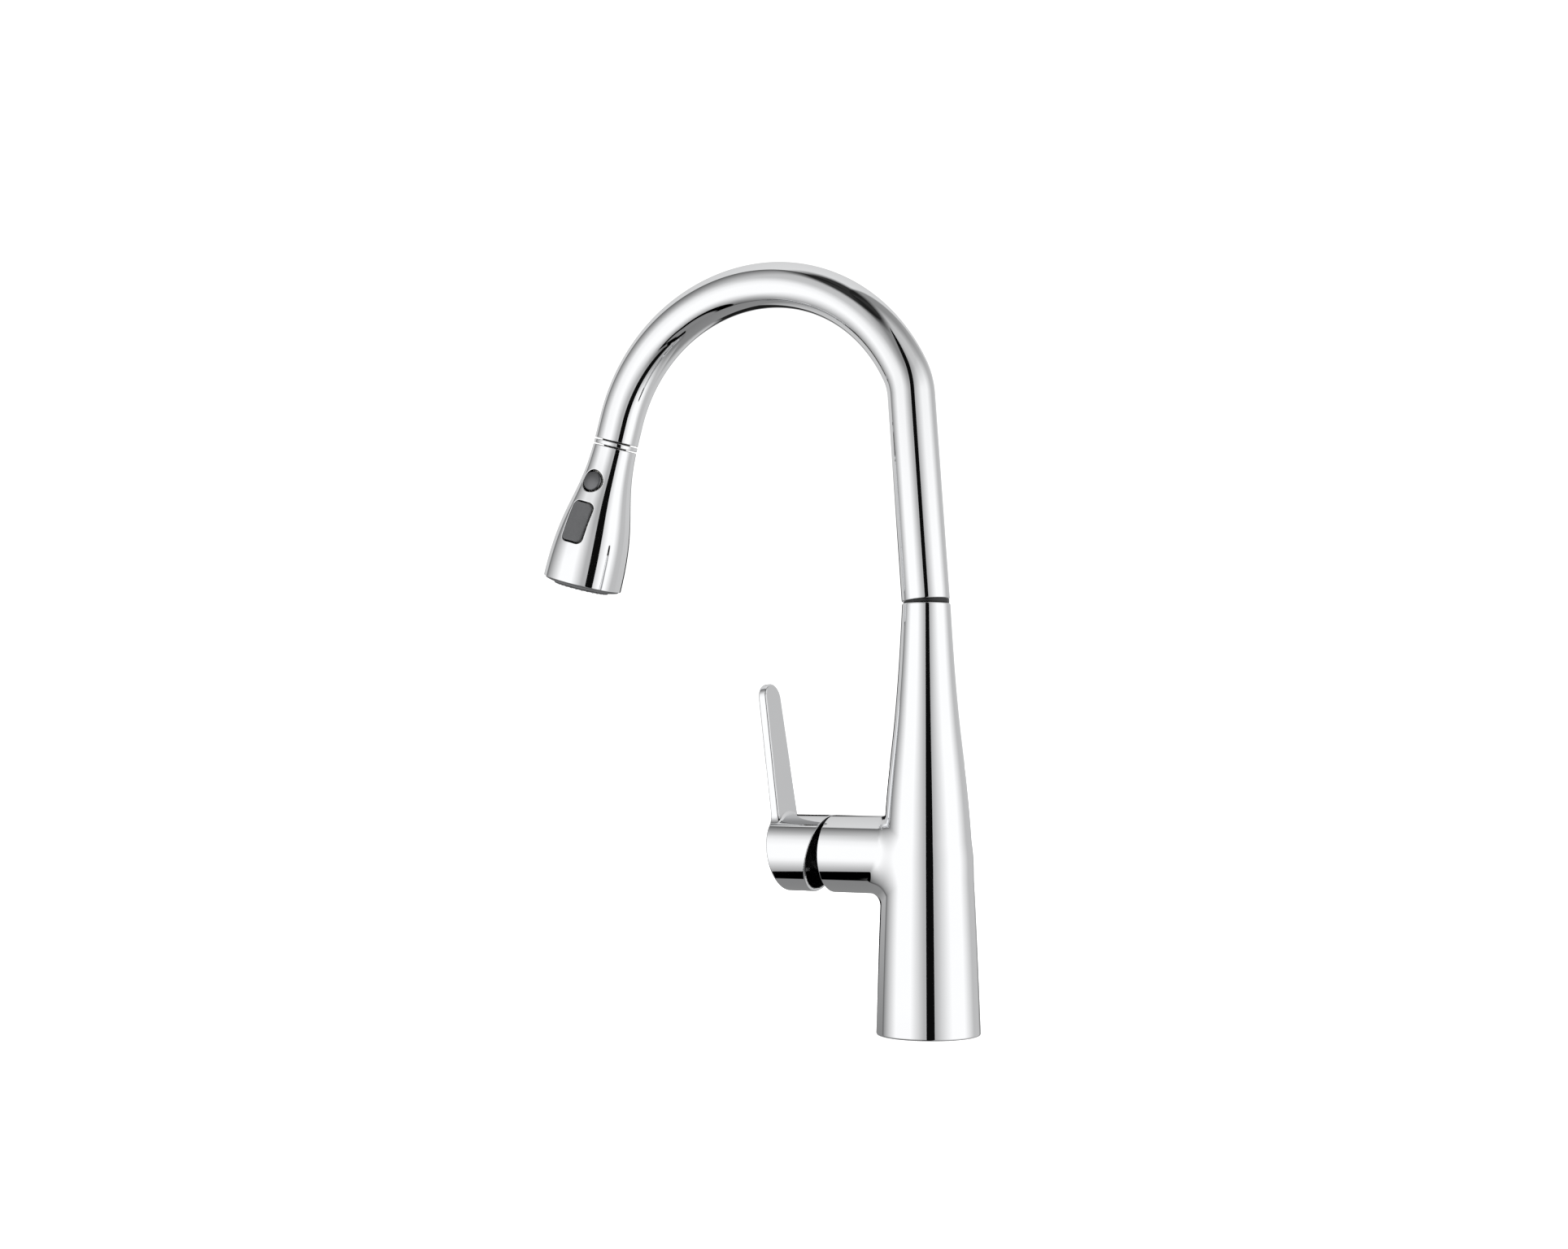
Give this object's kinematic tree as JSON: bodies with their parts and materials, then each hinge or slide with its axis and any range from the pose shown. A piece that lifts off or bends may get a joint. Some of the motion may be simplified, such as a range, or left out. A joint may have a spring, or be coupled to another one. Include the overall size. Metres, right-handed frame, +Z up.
{
  "type": "pull down kitchen faucet",
  "caption": "Single-lever kitchen faucet with a tapered body, side lever, high-arc swivel spout and a pull-down spray head with a pause button and a mode rocker.",
  "frame": {"origin": "centre of the base, on the deck", "axes": "+Z up along the body and the spout's swivel axis; at rest the spout and the lever point along -Y, and the spray head's buttons face +X"},
  "size_m": [0.0534, 0.2674, 0.4119],
  "materials": {
    "chrome_body": "polished chrome plate on brass",
    "chrome_head": "polished chrome plate on ABS",
    "rubber": "matt black rubber",
    "brass": "machined brass",
    "white_plastic": "natural acetal",
    "ceramic": "lapped white alumina",
    "black_plastic": "gloss black",
    "steel": "plain stainless steel",
    "hose": "braided grey nylon",
    "grey_plastic": "satin dark grey plastic",
    "grey_silicone": "matt dark grey silicone"
  },
  "bodies": {
    "body": {"body_shell": "chrome_body", "base_gasket": "rubber", "shank_socket": "brass", "inlet_fitting_hot": "brass", "inlet_fitting_cold": "brass", "outlet_fitting": "brass", "cartridge_seal": "rubber", "cartridge_base": "white_plastic", "fixed_disc": "ceramic", "cartridge_body": "white_plastic", "cartridge_nut": "brass", "bonnet": "black_plastic", "swivel_bush": "white_plastic", "swivel_lock_ring": "steel"},
    "spout": {"spout_tube": "chrome_body", "swivel_adapter": "chrome_body", "o_ring_upper": "rubber", "o_ring_lower": "rubber", "hose_run": "hose", "dock_bush": "white_plastic", "dock_magnet": "steel"},
    "hose_end": {"dock_collar": "chrome_body", "hose_tail": "hose", "hose_coupling": "brass", "head_swivel_bush": "white_plastic"},
    "spray_head": {"head_shell": "chrome_head", "head_core": "white_plastic", "inlet_washer": "rubber", "check_valve": "white_plastic", "rocker_pin": "steel", "pause_spring": "steel", "spray_face": "grey_plastic", "nozzle_pad": "grey_silicone", "aerator_housing": "grey_plastic", "aerator_screen": "steel"},
    "pause_control": {"pause_button": "grey_plastic"},
    "mode_control": {"mode_rocker": "grey_plastic"},
    "diverter": {"diverter_spool": "white_plastic"},
    "lever_rotor": {"spindle_rotor": "white_plastic", "pivot_pin": "steel"},
    "lever": {"lever_handle": "chrome_body", "lever_stem": "brass", "lever_set_screw": "steel", "set_screw_plug": "grey_plastic"},
    "mixing_disc": {"moving_disc": "ceramic", "disc_carrier": "white_plastic"}
  },
  "joints": [
    {"name": "spout_swivel", "type": "hinge", "parent": "body", "child": "spout", "pos_m": [0, 0, 0.2], "axis": [0, 0, 1], "continuous": true},
    {"name": "head_pull", "type": "slide", "parent": "spout", "child": "hose_end", "axis": [0, -0.279, -0.9603], "range_m": [0, 0.2], "stiffness_N_per_m": 12, "springref_m": -0.4},
    {"name": "head_turn", "type": "hinge", "parent": "hose_end", "child": "spray_head", "pos_m": [0, -0.19794, 0.3134], "axis": [0, -0.279, -0.9603], "continuous": true},
    {"name": "pause_press", "type": "slide", "parent": "spray_head", "child": "pause_control", "axis": [-0.9833, -0.0508, -0.175], "range_m": [0, 0.0015], "stiffness_N_per_m": 300, "springref_m": -0.002},
    {"name": "mode_rock", "type": "hinge", "parent": "spray_head", "child": "mode_control", "pos_m": [0.0153, -0.20956, 0.27341], "axis": [0, 0.9603, -0.279], "range_deg": [-4, 4]},
    {"name": "diverter_slide", "type": "slide", "parent": "spray_head", "child": "diverter", "axis": [0, 0.279, 0.9603], "range_m": [-0.001, 0.001]},
    {"name": "lever_turn", "type": "hinge", "parent": "body", "child": "lever_rotor", "pos_m": [0, -0.044, 0.0905], "axis": [0, -1, 0], "range_deg": [-45, 45]},
    {"name": "lever_tilt", "type": "hinge", "parent": "lever_rotor", "child": "lever", "pos_m": [0, -0.044, 0.0905], "axis": [1, 0, 0], "range_deg": [0, 24]},
    {"name": "disc_slide", "type": "slide", "parent": "lever_rotor", "child": "mixing_disc", "axis": [0, 0, 1], "range_m": [0, 0.0033]}
  ],
  "couplings": [
    {"joint": "disc_slide", "follows": "lever_tilt", "m_per_rad": 0.00757},
    {"joint": "diverter_slide", "follows": "mode_rock", "m_per_rad": 0.0137}
  ]
}
